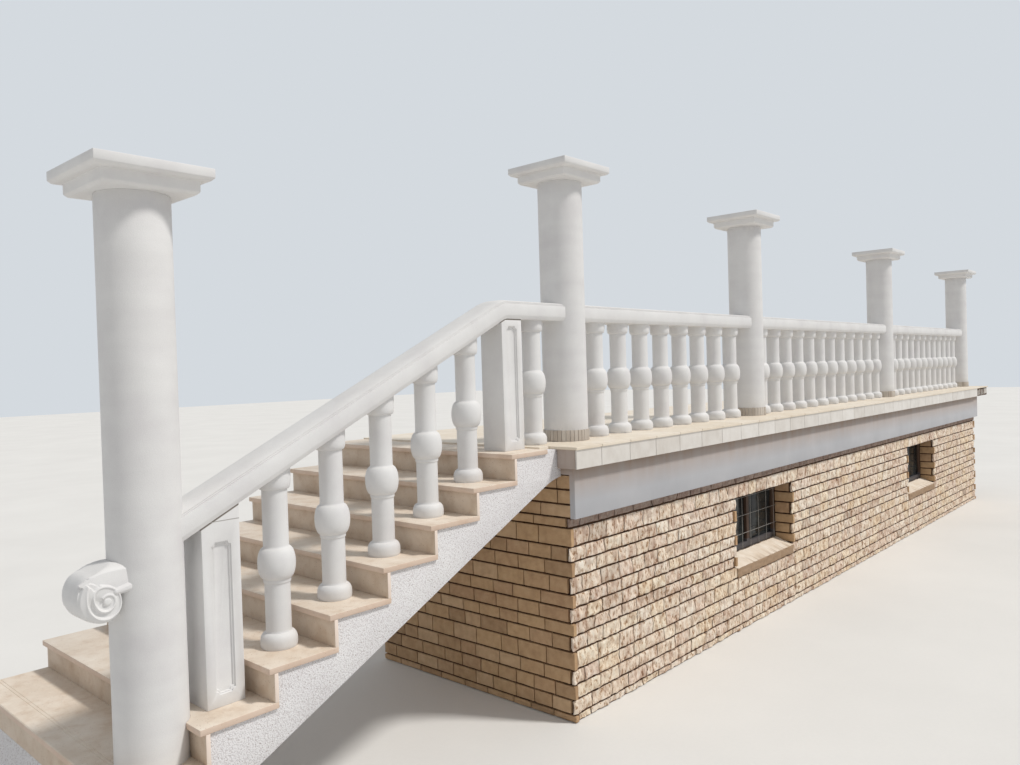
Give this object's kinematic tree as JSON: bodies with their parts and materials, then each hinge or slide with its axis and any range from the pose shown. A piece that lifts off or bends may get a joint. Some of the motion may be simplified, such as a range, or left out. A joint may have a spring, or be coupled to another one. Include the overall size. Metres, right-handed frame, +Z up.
{
  "type": "terrace balustrade with stair and stone base",
  "caption": "White cast-stone balustrade with columns and level and raking rails on a raised stone-faced terrace, with a straight stair ending in a volute.",
  "frame": {"origin": "on the underside of the base, under the axis of the corner column between the stair and the terrace", "axes": "+X along the front away from the stair, +Y from the balustrade towards the house side, +Z up"},
  "size_m": [13.6119, 1.987, 3.595],
  "materials": {
    "cast_stone": "white painted cast stone",
    "stone_cladding": "split-face tan stone in courses",
    "render": "smooth grey-lilac render",
    "concrete": "plain concrete",
    "floor_tile": "pale beige tile, honed",
    "edge_tile": "pale grey-beige tile",
    "skirting_tile": "narrow beige tiles",
    "roughcast": "white pebbled roughcast",
    "window_frame": "dark stained wood",
    "window_glass": "clear glass",
    "sill_stone": "tan stone sill"
  },
  "bodies": {
    "root": {"front_wall": "stone_cladding", "return_wall": "stone_cladding", "end_wall": "stone_cladding", "rear_wall": "stone_cladding", "edge_beam": "render", "deck_slab": "concrete", "floor_tiles": "floor_tile", "edge_tiles": "edge_tile", "window_frames": "window_frame", "window_glass": "window_glass", "window_sills": "sill_stone", "column_1": "cast_stone", "column_2": "cast_stone", "column_3": "cast_stone", "column_4": "cast_stone", "column_5": "cast_stone", "capital_1": "cast_stone", "capital_2": "cast_stone", "capital_3": "cast_stone", "capital_4": "cast_stone", "capital_5": "cast_stone", "column_skirtings": "skirting_tile", "raking_rail": "cast_stone", "volute": "cast_stone", "rail_bay_1": "cast_stone", "rail_bay_2": "cast_stone", "rail_bay_3": "cast_stone", "newel_lower": "cast_stone", "newel_upper": "cast_stone", "stair_balusters": "cast_stone", "landing_baluster": "cast_stone", "balusters_bay_1": "cast_stone", "balusters_bay_2": "cast_stone", "balusters_bay_3": "cast_stone", "stair_footing": "roughcast", "stair_flight": "roughcast", "risers": "floor_tile", "tread_1": "floor_tile", "tread_2": "floor_tile", "tread_3": "floor_tile", "tread_4": "floor_tile", "tread_5": "floor_tile", "tread_6": "floor_tile", "tread_7": "floor_tile", "tread_8": "floor_tile"}
  },
  "joints": []
}
